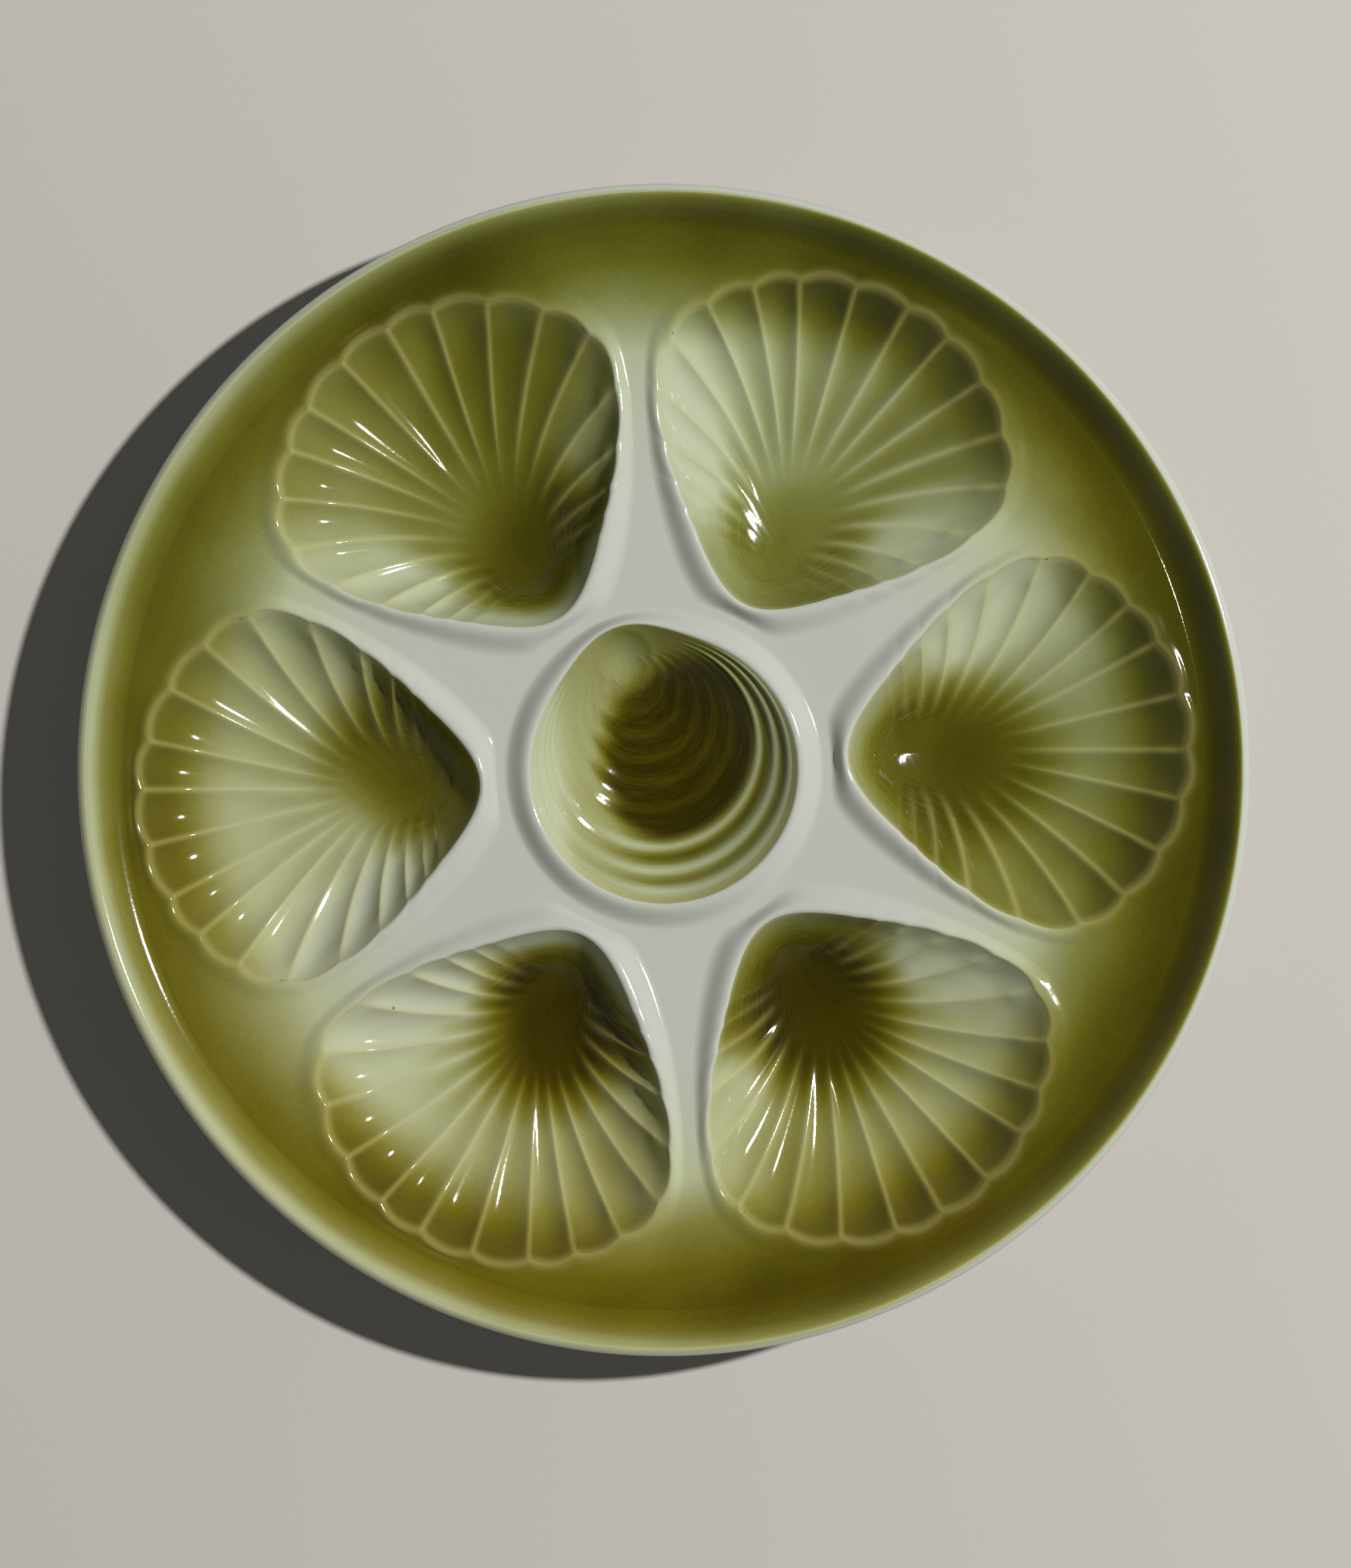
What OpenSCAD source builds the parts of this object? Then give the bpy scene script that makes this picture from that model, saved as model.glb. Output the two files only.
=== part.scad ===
// Round oyster plate of moulded faience: six scallop-shell wells round a clam-shaped centre well.
// The clay body is one casting, white glazed. The green glaze is laid on it in separate coats.

/* [Plate] */
// Diameter over the rounded lip
plate_d = 240; // [228:1:264]
// Height from the foot ring to the top of the lip
plate_h = 25; // [24:0.5:32]
// Height of the flat deck between the wells
deck_z = 20; // [18.5:0.5:21]
// Thickness of the clay under the deck
deck_t = 5; // [4:0.5:6]

/* [Rim] */
// Width of the rim, from the foot of its inner slope to the outer edge
rim_w = 9.2; // [8:0.2:12]
// Radius of the rounded lip
lip_r = 1.8; // [1.4:0.1:2.2]
// Thickness of the clay behind the rim's inner slope
rim_t = 3; // [2.4:0.1:3.6]
// Width of the sloping underside of the rim
flare_w = 15; // [12:0.5:18]

/* [Foot ring] */
// Diameter of the foot ring, at the middle of its edge
foot_d = 136; // [124:2:148]
// Width of the edge that it stands on
foot_w = 3.6; // [2.6:0.2:5]
// Extra width where it joins the underside
foot_flare = 2.6; // [1.6:0.2:4]

/* [Shell wells] */
// Height of the crest round each well above the deck
crest_h = 1.8; // [1.2:0.2:2.8]
// Width of the flat top of that crest
crest_w = 0.6; // [0.5:0.1:1]
// Width of the slope from the crest down to the deck
bead_w = 2.9; // [2.4:0.1:3.6]
// Strip of flat deck left at the foot of that slope
deck_strip = 0.5; // [0.3:0.1:1]
// Height of the deepest point of a well above the table
floor_z = 9; // [7.5:0.5:11]
// Thickness of the clay under the deepest point
well_wall = 4.5; // [3.5:0.5:5.5]
// Radius of the fan-shaped outer edge
fan_r = 41.4; // [38:0.2:48]
// Distance from the hinge point to the blunt tip of the outline
tip_gap = 17; // [15:0.5:20]
// Distance from the hinge point to the flank lines beside the tip
flank_gap = 16.6; // [15:0.2:19.2]
// Direction of the flank lines, as the angle of their normal from the well's axis
flank_angle = 138; // [134:1:146]

/* [Flutes] */
// Half of the angle that the flutes spread over
fan_angle = 78; // [72:1:82]
// Angle by which the middle ribs lean to one side
rib_lean = 3; // [0:0.5:4]
// Sideways bow of the outer ribs, as a share of their length
rib_bow = 0.12; // [0:0.01:0.15]
// Height of the ribs between the flutes at the outer edge
rib_h = 1.5; // [0.8:0.1:1.8]
// Depth of the scallops along the outer edge
lobe_h = 1.2; // [0.6:0.1:1.6]

/* [Centre well] */
// Diameter over the foot of the collar
collar_d = 67.6; // [65:0.2:78]
// Height of the collar's top above the deck
collar_h = 2.2; // [1.4:0.2:3]
// Width of the low step round the collar
collar_step = 1.2; // [0.8:0.2:1.8]
// Mean radius of the clam-shaped hollow
clam_r = 27.4; // [25.5:0.2:28]
// How far its beak reaches past the mean radius
beak_h = 2.8; // [2:0.2:4]
// Direction of the beak
beak_angle = 102; // [90:1:120]
// Half width of the beak
beak_spread = 22; // [18:1:28]
// Distance of the hinge knob from the beak's end
knob_inset = 6; // [4.5:0.5:8]
// Height of the deepest point of the hollow above the table
clam_floor_z = 9; // [7.5:0.5:11]
// Height of the steps between growth bands
band_h = 0.7; // [0.3:0.1:0.9]

/* [Glaze] */
// Thickness of the green coats
glaze_t = 0.6; // [0.5:0.1:0.8]
// Gap under a coat, to keep it clear of the clay
glaze_gap = 0.05; // [0.03:0.01:0.1]

/* [Hidden] */

$fn = 96;

white_glaze = [0.91, 0.91, 0.87];
rim_green = [0.45, 0.44, 0.14];
shell_green = [0.60, 0.62, 0.34];
clam_green = [0.38, 0.34, 0.09];

// Counts: wells, flutes in a well, columns across a flute and round the hinge
well_count = 6;
flute_count = 13;
flute_columns = 3;
hinge_columns = 8;
clam_columns = 40;
curve_steps = 8;

plate_r = plate_d / 2;
foot_r = foot_d / 2;
collar_r = collar_d / 2;
channel_r = plate_r - rim_w;
under_z = deck_z - deck_t;
crest_z = deck_z + crest_h;
collar_z = deck_z + collar_h;
lip_mid_r = plate_r - lip_r;
lip_mid_z = plate_h - lip_r;

// Depth that joined shapes run into each other, and how far a cutter runs past a face
joint_depth = 1;
over_cut = 8;

// Well outline: what bounds it, and how softly these bounds blend into one another
half_pitch = 180 / well_count;
blend = 8;
far = 1000;
grazing = 0.03;
edge_w = crest_w + bead_w;
well_in_r = collar_r + deck_strip + edge_w;
well_out_r = channel_r - deck_strip - edge_w;

function total(values, i = 0) = i < len(values) ? values[i] + total(values, i + 1) : 0;
function soft_min(values) = pow(total([for (v = values) pow(v, -blend)]), -1 / blend);
function ramp(a, b, v) = let(t = max(0, min(1, (v - a) / (b - a)))) t * t * (3 - 2 * t);

// Distance from the hinge point to a line whose normal points along an angle, seen in direction phi
function line_reach(phi, normal, gap) = let(c = cos(phi - normal)) c > grazing ? gap / c : far;

// Distance to the tip, which is rounder than a straight line across it
tip_bluntness = 0.3;
function blunt_reach(phi) = let(c = -cos(phi)) c > grazing ? tip_gap * pow(c, -tip_bluntness) : far;

tip_reach = soft_min([tip_gap, line_reach(180, flank_angle, flank_gap), line_reach(180, -flank_angle, flank_gap)]);
hinge_r = well_in_r + tip_reach;
fan_reach = well_out_r - hinge_r;
fan_shift = fan_reach - fan_r;
valley_gap = hinge_r * sin(half_pitch) - deck_strip / 2 - edge_w;

// Distance from the hinge point to the outermost edge of the scallops
function outline_reach(phi) = soft_min([
    fan_shift * cos(phi) + sqrt(pow(fan_r, 2) - pow(fan_shift * sin(phi), 2)),
    line_reach(phi, 90 + half_pitch, valley_gap),
    line_reach(phi, -90 - half_pitch, valley_gap),
    line_reach(phi, flank_angle, flank_gap),
    line_reach(phi, -flank_angle, flank_gap),
    blunt_reach(phi)]);

// Direction of a place on the fan, counted in flutes from the first rib
function flute_angle(f) = let(side = 2 * f / flute_count - 1) fan_angle * side + rib_lean * cos(90 * side);

// Columns round a well: direction, place across the flute (0 on a rib, 1 half-way), share of the relief
hinge_turn = 360 - 2 * fan_angle;
columns = concat(
    [for (i = [0 : flute_count * flute_columns])
        [flute_angle(i / flute_columns), abs(sin(180 * i / flute_columns)), 1]],
    [for (j = [1 : hinge_columns - 1]) [fan_angle + hinge_turn * j / hinge_columns, 0, 0]]);

// Rows of the hollow, as shares of the way from the hinge point to the edge
rows = [0.35, 0.65, 0.84, 0.93];
last_row = rows[len(rows) - 1];
// Curve of the floor along the fan, the scoop at the end of a flute, and the steep wall at the tip
fan_power = 2;
scoop_start = 0.82;
scoop_end = 1.02;
scoop_share = 0.4;
tip_power = 4;
// Where the ribs rise out of the smooth pool
rib_start = 0.2;
rib_full = 0.5;

// Share of the height from the pool to the crest at a share v of the way to the edge
function scoop(v) = ramp(scoop_start, scoop_end, v) / ramp(scoop_start, scoop_end, 1);
function fan_climb(v) = (1 - scoop_share) * pow(v, fan_power) + scoop_share * scoop(v);
function climb(phi, v) = let(t = (1 - cos(phi)) / 2) (1 - t) * fan_climb(v) + t * pow(v, tip_power);
function inner_reach(c) = outline_reach(c[0]) - lobe_h * (1 - c[1]) * c[2];
function rib_rise(c, v) = rib_h * v * ramp(rib_start, rib_full, v) * (1 - c[1]) * c[2];

// A point at a distance from the hinge point in a column's direction, with the bow of the ribs
function plan_point(c, reach, v) = let(
    bow = 2 * v * (1 - v) * rib_bow * outline_reach(c[0]) * sin(c[0]) * abs(sin(c[0])))
    [hinge_r + reach * cos(c[0]) + bow * sin(c[0]), reach * sin(c[0]) - bow * cos(c[0])];

// A point of the hollow, raised by a coat of glaze that also thickens inwards on the wall
function hollow_point(c, v, coat = 0) = let(
    z = floor_z + (crest_z - floor_z) * climb(c[0], v) + (v < 1 ? rib_rise(c, v) : 0),
    p = plan_point(c, inner_reach(c) * v - coat * v * v, v))
    [p[0], p[1], z + coat];

function rim_point(c, out, z) = let(p = plan_point(c, outline_reach(c[0]) + out, 1)) [p[0], p[1], z];

// Closed solid from a pole, through rings of equal length, to a second pole
module ring_solid(first_pole, rings, last_pole) {
    n = len(rings[0]);
    ends = len(rings) - 1;
    points = concat([first_pole], [for (ring = rings) each ring], [last_pole]);
    last = len(points) - 1;
    faces = concat(
        [for (i = [0 : n - 1]) [0, 1 + i, 1 + (i + 1) % n]],
        [for (k = [0 : ends - 1], i = [0 : n - 1]) let(a = 1 + k * n, j = (i + 1) % n)
            each [[a + i, a + n + i, a + n + j], [a + i, a + n + j, a + j]]],
        [for (i = [0 : n - 1]) let(a = 1 + ends * n) [last, a + (i + 1) % n, a + i]]);
    polyhedron(points, faces);
}

// Clay round one well, before it is hollowed: bulge below the deck, crest and its slope above
bulge_out = 2.2;
bulge_rows = [0.5, 0.85];
slope_mid = 0.5;
slope_bulge = 0.56;

function bulge_point(c, w) = let(
    reach = (outline_reach(c[0]) + bulge_out) * w,
    base_z = floor_z - well_wall)
    [hinge_r + reach * cos(c[0]), reach * sin(c[0]),
        base_z + (under_z + joint_depth - base_z) * climb(c[0], w)];

// The slope runs on under the deck by part of the strip between two wells, so that they stay clear
slope_run = deck_strip * 0.4;
slope_sink = slope_run * slope_bulge * crest_h / (bead_w * (1 - slope_mid));

module well_boss() {
    ring_solid([hinge_r, 0, floor_z - well_wall],
        concat(
            [for (w = bulge_rows) [for (c = columns) bulge_point(c, w)]],
            [[for (c = columns) bulge_point(c, 1)]],
            [[for (c = columns) rim_point(c, edge_w + slope_run, deck_z - slope_sink)]],
            [[for (c = columns) rim_point(c, crest_w + bead_w * slope_mid, deck_z + crest_h * slope_bulge)]],
            [[for (c = columns) rim_point(c, crest_w, crest_z)]]),
        [hinge_r, 0, crest_z]);
}

// The hollow of one well, run on past the crest so that it cuts cleanly
module well_hollow() {
    run_on = 1.5;
    ring_solid([hinge_r, 0, floor_z],
        concat(
            [for (v = rows) [for (c = columns) hollow_point(c, v)]],
            [[for (c = columns) let(p = hollow_point(c, last_row)) p + run_on * (hollow_point(c, 1) - p)]]),
        [hinge_r, 0, crest_z + over_cut]);
}

// Green coat lining one well and the flat top of its crest
module well_coat() {
    all_rows = concat(rows, [1]);
    lift = [0, 0, glaze_gap];
    coat = glaze_gap + glaze_t;
    ring_solid([hinge_r, 0, floor_z + glaze_gap],
        concat(
            [for (v = all_rows) [for (c = columns) hollow_point(c, v) + lift]],
            [[for (c = columns) rim_point(c, crest_w, crest_z) + lift]],
            [[for (c = columns) rim_point(c, crest_w, crest_z + coat)]],
            [for (k = [len(all_rows) - 1 : -1 : 0]) [for (c = columns) hollow_point(c, all_rows[k], coat)]]),
        [hinge_r, 0, floor_z + coat]);
}

module place_well(i) {
    rotate([0, 0, 360 / well_count * i]) children();
}

// Clam-shaped hollow: a round bowl drawn out to a beak, its growth bands spreading from a knob at the hinge
clam_power = 2.6;
clam_rows = [0.25, 0.5, 0.72, 0.78, 0.86, 0.93];
band_share = [0, 0, 0, 1, 0.4, 1];
clam_last = clam_rows[len(clam_rows) - 1];

function clam_edge(a) = let(turn = (a - beak_angle) / beak_spread) clam_r + beak_h * exp(-turn * turn);
function around(a) = a - 360 * floor((a - beak_angle + 180) / 360);

knob_r = clam_r + beak_h - knob_inset;
knob = [knob_r * cos(beak_angle), knob_r * sin(beak_angle)];

function clam_bowl_z(p) = let(share = norm(p) / clam_edge(around(atan2(p[1], p[0]))))
    clam_floor_z + (collar_z - clam_floor_z) * pow(min(1, share), clam_power);

function clam_point(a, v, band = 0, coat = 0) = let(
    edge = (clam_edge(around(a)) - coat * v) * [cos(a), sin(a)],
    p = knob + v * (edge - knob),
    step = band_h * band * min(1, norm(edge - knob) / (2 * clam_r)))
    [p[0], p[1], (v < 1 ? clam_bowl_z(p) : collar_z) + step + coat];

clam_angles = [for (i = [0 : clam_columns - 1]) 360 * i / clam_columns];

module clam_hollow() {
    run_on = 1.5;
    ring_solid([knob[0], knob[1], clam_bowl_z(knob)],
        concat(
            [for (k = [0 : len(clam_rows) - 1]) [for (a = clam_angles) clam_point(a, clam_rows[k], band_share[k])]],
            [[for (a = clam_angles) let(p = clam_point(a, clam_last, 1)) p + run_on * (clam_point(a, 1) - p)]]),
        [0, 0, collar_z + over_cut]);
}

module centre_well_glaze() {
    lift = [0, 0, glaze_gap];
    coat = glaze_gap + glaze_t;
    n = len(clam_rows);
    color(clam_green)
        ring_solid([knob[0], knob[1], clam_bowl_z(knob) + glaze_gap],
            concat(
                [for (k = [0 : n - 1]) [for (a = clam_angles) clam_point(a, clam_rows[k], band_share[k]) + lift]],
                [[for (a = clam_angles) clam_point(a, 1) + lift]],
                [for (k = [n - 1 : -1 : 0]) [for (a = clam_angles) clam_point(a, clam_rows[k], band_share[k], coat)]]),
            [knob[0], knob[1], clam_bowl_z(knob) + coat]);
}

// Section of the rim's inner slope, from its foot in the channel up to the crest
slope_w = lip_mid_r - channel_r;
slope_h = plate_h - deck_z;
function slope_point(t) = [channel_r + slope_w * t, deck_z + slope_h * (1 - cos(180 * t)) / 2];
rim_slope = [for (i = [0 : curve_steps]) slope_point(i / curve_steps)];

// Back of the rim, which follows that slope at the rim's thickness up to the middle of the slope
back_shares = [0, 0.25, 0.5];
rim_back = [for (t = back_shares) let(tilt = atan2(slope_h * PI / 2 * sin(180 * t), slope_w))
    slope_point(t) + rim_t * [sin(tilt), -cos(tilt)]];

// Section of the lip from its top, round the outside and back under the flare
lip_arc = [for (i = [1 : curve_steps]) let(a = 90 - 150 * i / curve_steps)
    [lip_mid_r + lip_r * cos(a), lip_mid_z + lip_r * sin(a)]];

// Section of the collar's stepped outside, from the deck up to its top
collar_rise = 1;
collar_side = [[collar_r, deck_z], [collar_r - collar_rise, deck_z + collar_h / 2],
    [collar_r - collar_rise - collar_step, deck_z + collar_h / 2], [collar_r - 2 * collar_rise - collar_step, collar_z]];

// Underside of the centre bowl
bowl_base_z = clam_floor_z - well_wall;
bowl_under = [for (i = [0 : curve_steps]) let(t = i / curve_steps)
    [collar_r * t, bowl_base_z + (under_z - bowl_base_z) * pow(t, clam_power)]];

module clay_section() {
    polygon(concat(
        bowl_under,
        [[plate_r - flare_w, under_z]],
        rim_back,
        [for (i = [len(lip_arc) - 1 : -1 : 0]) lip_arc[i]],
        [for (i = [len(rim_slope) - 1 : -1 : 0]) rim_slope[i]],
        collar_side,
        [[0, collar_z]]));
}

module foot_section() {
    polygon([
        [foot_r - foot_w / 2, 0],
        [foot_r + foot_w / 2, 0],
        [foot_r + (foot_w + foot_flare) / 2, under_z + joint_depth / 2],
        [foot_r - (foot_w + foot_flare) / 2, under_z + joint_depth / 2]]);
}

module plate_body() {
    color(white_glaze)
        difference() {
            union() {
                rotate_extrude() clay_section();
                rotate_extrude() foot_section();
                for (i = [0 : well_count - 1]) place_well(i) well_boss();
            }
            for (i = [0 : well_count - 1]) place_well(i) well_hollow();
            clam_hollow();
        }
}

// Green coat on the rim's inner slope, from the channel to the crest of the lip
module rim_glaze() {
    low = [for (p = rim_slope) p + [0, glaze_gap]];
    high = [for (i = [len(rim_slope) - 1 : -1 : 0]) rim_slope[i] + [0, glaze_gap + glaze_t]];
    color(rim_green) rotate_extrude() polygon(concat(low, high));
}

module well_glaze(i) {
    color(shell_green) place_well(i) well_coat();
}

plate_body();
rim_glaze();
centre_well_glaze();
well_glaze(0);  // well_glaze_1
well_glaze(1);  // well_glaze_2
well_glaze(2);  // well_glaze_3
well_glaze(3);  // well_glaze_4
well_glaze(4);  // well_glaze_5
well_glaze(5);  // well_glaze_6
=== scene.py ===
import math

import bpy
import numpy as np
from mathutils import Matrix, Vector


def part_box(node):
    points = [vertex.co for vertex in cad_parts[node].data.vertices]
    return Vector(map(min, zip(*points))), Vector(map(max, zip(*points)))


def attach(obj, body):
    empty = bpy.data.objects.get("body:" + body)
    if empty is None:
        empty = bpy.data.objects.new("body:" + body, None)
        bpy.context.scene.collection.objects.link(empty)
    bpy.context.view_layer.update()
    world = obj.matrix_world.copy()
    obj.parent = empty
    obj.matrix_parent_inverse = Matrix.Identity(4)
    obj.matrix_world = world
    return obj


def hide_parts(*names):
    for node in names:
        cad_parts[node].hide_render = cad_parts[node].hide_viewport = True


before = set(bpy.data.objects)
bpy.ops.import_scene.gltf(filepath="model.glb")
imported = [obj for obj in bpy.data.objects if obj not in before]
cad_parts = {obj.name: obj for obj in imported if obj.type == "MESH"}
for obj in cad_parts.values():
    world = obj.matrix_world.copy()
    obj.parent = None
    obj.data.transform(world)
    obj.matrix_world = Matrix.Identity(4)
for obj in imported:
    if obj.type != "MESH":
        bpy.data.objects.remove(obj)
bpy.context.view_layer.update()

# Plate body: one slip casting of earthenware, dipped in white tin glaze, with the wells' crests, the centre
# well's collar, the rim and the foot ring all part of it. Green is sprayed over the white towards the rim,
# and the edge of the foot ring is wiped bare so that it doesn't stick in the kiln.
MM = 0.001
well_count = 6
well_turn = 360 / well_count
clam_low, clam_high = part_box("centre_well_glaze")
shell_low, shell_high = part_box("well_glaze_1")
plate_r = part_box("plate_body")[1][0] / MM
lip_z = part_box("rim_glaze")[1][2] / MM
crest_z = shell_high[2] / MM
glaze_t = 0.6
pool_z = shell_low[2] / MM + glaze_t
deck_z = 19.6
deck_rise = 1.7
under_z = 15
channel_w = 9.2
channel_r = plate_r - channel_w
lip_r = 1.8
lip_mid_r = plate_r - lip_r
collar_r = 33.8
collar_z = clam_high[2] / MM
round_columns = 256
flat_strip = 0.2


def ramp(start, end, value):
    """Smooth step from 0 at start to 1 at end."""
    share = np.clip((value - start) / (end - start), 0, 1)
    return share * share * (3 - 2 * share)


def bell(value, middle, width):
    return np.exp(-((value - middle) / width) ** 2)


def soft_min(values, power):
    return sum(value ** -power for value in values) ** (-1 / power)


def cosine(degrees):
    return np.cos(np.radians(degrees))


def sine(degrees):
    return np.sin(np.radians(degrees))


def round_angle(column):
    """Angle of a column on a sheet that closes round the plate's axis."""
    return 360 * (column % round_columns) / round_columns


def deck_height(radius):
    """Height of the deck, which rises a little from the collar to the rim's channel."""
    return deck_z + deck_rise * np.clip((radius - collar_r) / (channel_r - collar_r), 0, 1)


# The shell's outline is told by its distance from the hinge point in each direction: a fan-shaped arc,
# two valleys shared with the neighbours, two flanks and a blunt tip.
fan_r = 41.4
tip_gap = 17
tip_bluntness = 0.3
flank_gap = 16.6
flank_angle = 138
edge_w = 3.5
deck_strip = 0.5
half_pitch = well_turn / 2
outline_power = 8
grazing = 0.03
far = 1000.0


def line_reach(phi, normal, gap):
    facing = cosine(phi - normal)
    return np.where(facing > grazing, gap / np.maximum(facing, grazing), far)


def flank_reach(phi):
    """The blunt tip and the two straight flanks beside it."""
    facing = -cosine(phi)
    tip = np.where(facing > grazing, tip_gap * np.maximum(facing, grazing) ** -tip_bluntness, far)
    return [tip, line_reach(phi, flank_angle, flank_gap), line_reach(phi, -flank_angle, flank_gap)]


well_in_r = collar_r + deck_strip + edge_w
well_out_r = channel_r - deck_strip - edge_w
hinge_r = well_in_r + float(soft_min(flank_reach(np.array(180.0)), outline_power))
fan_shift = well_out_r - hinge_r - fan_r
valley_mid = hinge_r * float(sine(half_pitch))


def valley_reach(phi, gap):
    return [line_reach(phi, side * (90 + half_pitch), gap) for side in (1, -1)]


def circle_reach(phi, radius):
    """Distance from the hinge point to a circle about the plate's centre, far where the ray misses it."""
    along = hinge_r * cosine(phi)
    square = radius ** 2 - (hinge_r * sine(phi)) ** 2
    root = np.sqrt(np.maximum(square, 0))
    near = np.where((square > 0) & (along < 0) & (radius < hinge_r), -along - root, far)
    return near if radius < hinge_r else root - along


def outline_reach(phi):
    fan = fan_shift * cosine(phi) + np.sqrt(fan_r ** 2 - (fan_shift * sine(phi)) ** 2)
    valleys = valley_reach(phi, valley_mid - deck_strip / 2 - edge_w)
    return soft_min([fan] + valleys + flank_reach(phi), outline_power)


# Columns round a shell, from the tip, over the fan and back: thirteen flutes and some faint ones on the
# flanks, with columns crowded at the ribs. The ribs wander a little, as ribs cut by hand do.
flute_count = 13
flank_flutes = 3
flute_columns = 14
hinge_columns = 20
fan_angle = 78
rib_lean = 3
rib_crowd = 0.6
slow_wander = 0.5
slow_turns = 1.7
slow_start = 0.6
quick_wander = 0.35
quick_turns = 4.1
flute_steps = np.arange((flute_count + 2 * flank_flutes) * flute_columns + 1) / flute_columns - flank_flutes
flute_part = flute_steps - np.floor(flute_steps)
flutes = flute_steps - rib_crowd * np.sin(2 * np.pi * flute_part) / (2 * np.pi)
fan_side = 2 * flutes / flute_count - 1
hand_wander = slow_wander * np.sin(slow_turns * flutes + slow_start)
hand_wander = hand_wander + quick_wander * np.sin(quick_turns * flutes)
fan_phi = fan_angle * fan_side + (rib_lean + hand_wander) * cosine(90 * np.clip(fan_side, -1, 1))
hinge_phi = np.linspace(-180, fan_phi[0], hinge_columns + 1)[:-1]
shell_phi = np.concatenate([hinge_phi, fan_phi, -hinge_phi[::-1]])
shell_turn = np.abs(shell_phi)
shell_columns = len(shell_phi) - 1
tip_share = (1 - cosine(shell_phi)) / 2

# Each flute is a hollow, nothing at the ribs on its two sides and deepest between them. The ribs fade on the
# flanks, and slight waves along the flutes start differently in each.
rib_round = 0.1
rib_flank = 10
flank_fade = 0.8
flank_fade_w = 4
wave_shift = 2.4
flute_place = flutes - np.floor(flutes)
rounded = np.sqrt((4 * flute_place * (1 - flute_place)) ** 2 + rib_round ** 2) - rib_round
fan_across = rounded / (math.sqrt(1 + rib_round ** 2) - rib_round)
hinge_across = ramp(0, rib_flank, fan_phi[0] - hinge_phi)
rib_off = np.concatenate([hinge_across, fan_across, hinge_across[::-1]])
rib_share = 1 - flank_fade * ramp(fan_angle - flank_fade_w, -fan_phi[0], shell_turn)
shell_across = 1 - rib_share * (1 - rib_off)
no_flutes = np.zeros(hinge_columns)
on_fan = np.concatenate([no_flutes, np.ones(len(flutes)), no_flutes])
wave_start = np.concatenate([no_flutes, wave_shift * np.floor(flute_steps), no_flutes])

# The ribs' roots are spread along the pool, not gathered at one point, and each flute ends in a lobe.
front_root = 3.5
root_spread = 9.5
root_columns = (0.12, 0.95)
lobe_h = 1.2
lobe_fade = 0.5
lobe_fade_angles = (40, 75)
lobe_past = 1.3
lobe_past_angles = (55, 100)
column_share = np.abs(2 * np.arange(shell_columns + 1) / shell_columns - 1)
root_shift = front_root - root_spread * ramp(*root_columns, column_share)
shell_outline = outline_reach(shell_phi)
lobe_share = 1 - lobe_fade * ramp(*lobe_fade_angles, shell_turn)
lobe_out = lobe_past * (1 - ramp(*lobe_past_angles, shell_turn))
shell_edge = shell_outline + lobe_out - lobe_h * lobe_share * (1 - shell_across)

# Floor of a shell: it climbs slowly along the fan, with a scoop at the end of each flute, and steeply at
# the tip. Ribs start beyond the pool, later on the flanks, and run out just before the edge.
bend_end = 0.4
bend_share = 0.12
fan_power = 2.3
curl_start = 0.78
curl_share = 0.28
tip_lean = 0.3
tip_lean_start = 0.6
root_raise = 1.8
rib_bow = 0.16
bow_end_angles = (80, 125)
rib_h = 1.3
rib_power = 1.3
rib_root = 0.15
rib_grow = 0.35
rib_end = 0.88
flank_rib_delay = 0.3
flank_rib_angles = (60, 110)
wave_h = 0.05
wave_turns = 2.6
wave_grow = (0.2, 0.4)
wave_fade = (0.75, 0.92)
taper_power = 8
fan_edge_drop = 0.4
tip_edge_raise = 0.05
fan_crest_drop = 0.8
fan_crest_angles = (55, 105)
edge_drop = fan_edge_drop - tip_edge_raise * tip_share
crest_top = crest_z - fan_crest_drop * (1 - ramp(*fan_crest_angles, shell_turn))


def eased(start, end, value):
    """Height gained by a slope that grows from nothing at start and is steady after end."""
    share = np.clip((value - start) / (end - start), 0, 1)
    return (end - start) * (share ** 3 - share ** 4 / 2) + np.maximum(value - end, 0)


def climb(tip, way):
    """Share of the height from the pool to the crest, along the fan and up the wall at the tip."""
    bend = bend_share * eased(0, bend_end, way) / eased(0, bend_end, 1)
    fan = (1 - curl_share) * (bend + (1 - bend_share) * way ** fan_power)
    fan = fan + curl_share * eased(curl_start, 1, way) / eased(curl_start, 1, 1)
    lean = tip_lean * ramp(tip_lean_start, 1, tip)
    return (1 - tip) * fan + tip * (lean * way + (1 - lean) * way ** 2)


def shell_plan(column, way):
    phi = shell_phi[column]
    reach = shell_edge[column] * way
    bow = 2 * way * (1 - way) * rib_bow * shell_outline[column] * sine(phi) * np.abs(sine(phi))
    bow = bow * (1 - ramp(*bow_end_angles, np.abs(phi)))
    shift = root_shift[column] * (1 - way)
    return hinge_r + shift + reach * cosine(phi) + bow * sine(phi), reach * sine(phi) - bow * cosine(phi)


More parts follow.
